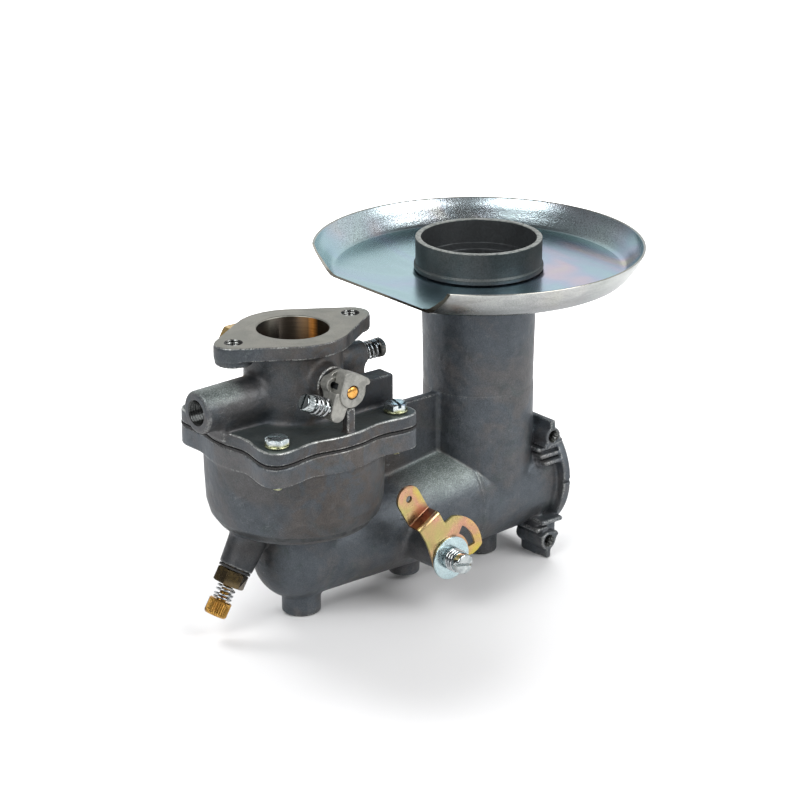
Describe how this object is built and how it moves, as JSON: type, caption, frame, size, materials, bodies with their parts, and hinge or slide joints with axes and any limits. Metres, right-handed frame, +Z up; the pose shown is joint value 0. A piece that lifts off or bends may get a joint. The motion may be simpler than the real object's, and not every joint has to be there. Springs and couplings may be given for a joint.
{
  "type": "updraft float carburetor",
  "caption": "Updraft float carburetor with a round float bowl, a two-bolt manifold flange, an integral intake tube and a round air cleaner pan with one side cut straight.",
  "frame": {"origin": "on the vertical throat axis, at the level of the round foot under the intake elbow", "axes": "+Z up along the throat to the manifold flange, +X from the throat towards the intake tube, -Y the side with the throttle and choke levers"},
  "size_m": [0.2063, 0.1336, 0.1368],
  "materials": {
    "cast_aluminium": "dark tumbled die casting, satin to rough",
    "cover_casting": "dark tumbled die casting with a machined manifold face",
    "pan_zinc": "blue zinc plate, faintly iridescent",
    "collar_steel": "dark phosphated steel",
    "zinc_plate": "bright zinc plate",
    "yellow_chromate": "yellow chromate over zinc, iridescent",
    "spring_steel": "bright plated spring wire",
    "needle_steel": "dark steel",
    "brass": "turned brass",
    "aged_brass": "aged brass",
    "lever_alloy": "light die cast alloy",
    "gasket": "dark fibre"
  },
  "bodies": {
    "carburetor_body": {"lower_body": "cast_aluminium", "upper_body": "cover_casting", "body_gasket": "gasket", "venturi": "brass", "air_cleaner_pan": "pan_zinc", "intake_collar": "collar_steel", "cover_screw_front_left": "zinc_plate", "cover_screw_front_right": "zinc_plate", "cover_screw_rear_left": "zinc_plate", "cover_screw_rear_right": "zinc_plate", "idle_mixture_spring": "spring_steel", "main_nozzle": "brass", "packing_washer": "gasket", "packing_nut": "aged_brass", "needle_spring": "spring_steel", "float_hinge_pin": "spring_steel", "inlet_seat": "brass"},
    "throttle": {"throttle_shaft": "brass", "throttle_plate": "brass", "throttle_plate_screw_front": "zinc_plate", "throttle_plate_screw_rear": "zinc_plate", "throttle_stop_lever": "lever_alloy", "throttle_shaft_nut": "brass", "idle_speed_spring": "spring_steel"},
    "idle_speed_adjuster": {"idle_speed_screw": "zinc_plate"},
    "idle_mixture_adjuster": {"idle_mixture_needle": "needle_steel"},
    "main_needle_valve": {"main_needle": "brass"},
    "choke": {"choke_shaft": "brass", "choke_plate": "zinc_plate", "choke_plate_screw_front": "zinc_plate", "choke_plate_screw_rear": "zinc_plate", "choke_lever": "yellow_chromate", "choke_washer": "zinc_plate", "choke_spring": "spring_steel", "choke_screw": "zinc_plate"},
    "float_assembly": {"float": "brass"},
    "inlet_valve": {"inlet_needle": "needle_steel"}
  },
  "joints": [
    {"name": "throttle_turn", "type": "hinge", "parent": "carburetor_body", "child": "throttle", "pos_m": [0, 0, 0.1024], "axis": [0, 1, 0], "range_deg": [0, 70]},
    {"name": "idle_speed_turn", "type": "hinge", "parent": "throttle", "child": "idle_speed_adjuster", "pos_m": [-0.01133, -0.033, 0.09819], "axis": [0.907, 0, -0.421], "range_deg": [-360, 360]},
    {"name": "idle_mixture_turn", "type": "hinge", "parent": "carburetor_body", "child": "idle_mixture_adjuster", "pos_m": [0.03, 0, 0.1012], "axis": [1, 0, 0], "range_deg": [-450, 450]},
    {"name": "main_needle_turn", "type": "hinge", "parent": "carburetor_body", "child": "main_needle_valve", "pos_m": [-0.03135, 0, 0.02344], "axis": [-0.5225, 0, -0.8526], "range_deg": [-450, 450]},
    {"name": "choke_turn", "type": "hinge", "parent": "carburetor_body", "child": "choke", "pos_m": [0.0463, 0, 0.0234], "axis": [0, 1, 0], "range_deg": [0, 85]},
    {"name": "float_swing", "type": "hinge", "parent": "carburetor_body", "child": "float_assembly", "pos_m": [-0.0288, 0, 0.074], "axis": [0, 1, 0], "range_deg": [0, 6]},
    {"name": "inlet_needle_drop", "type": "slide", "parent": "carburetor_body", "child": "inlet_valve", "axis": [0, 0, -1], "range_m": [0, 0.0006]}
  ],
  "couplings": [
    {"joint": "inlet_needle_drop", "follows": "float_swing", "m_per_rad": 0.0048}
  ]
}
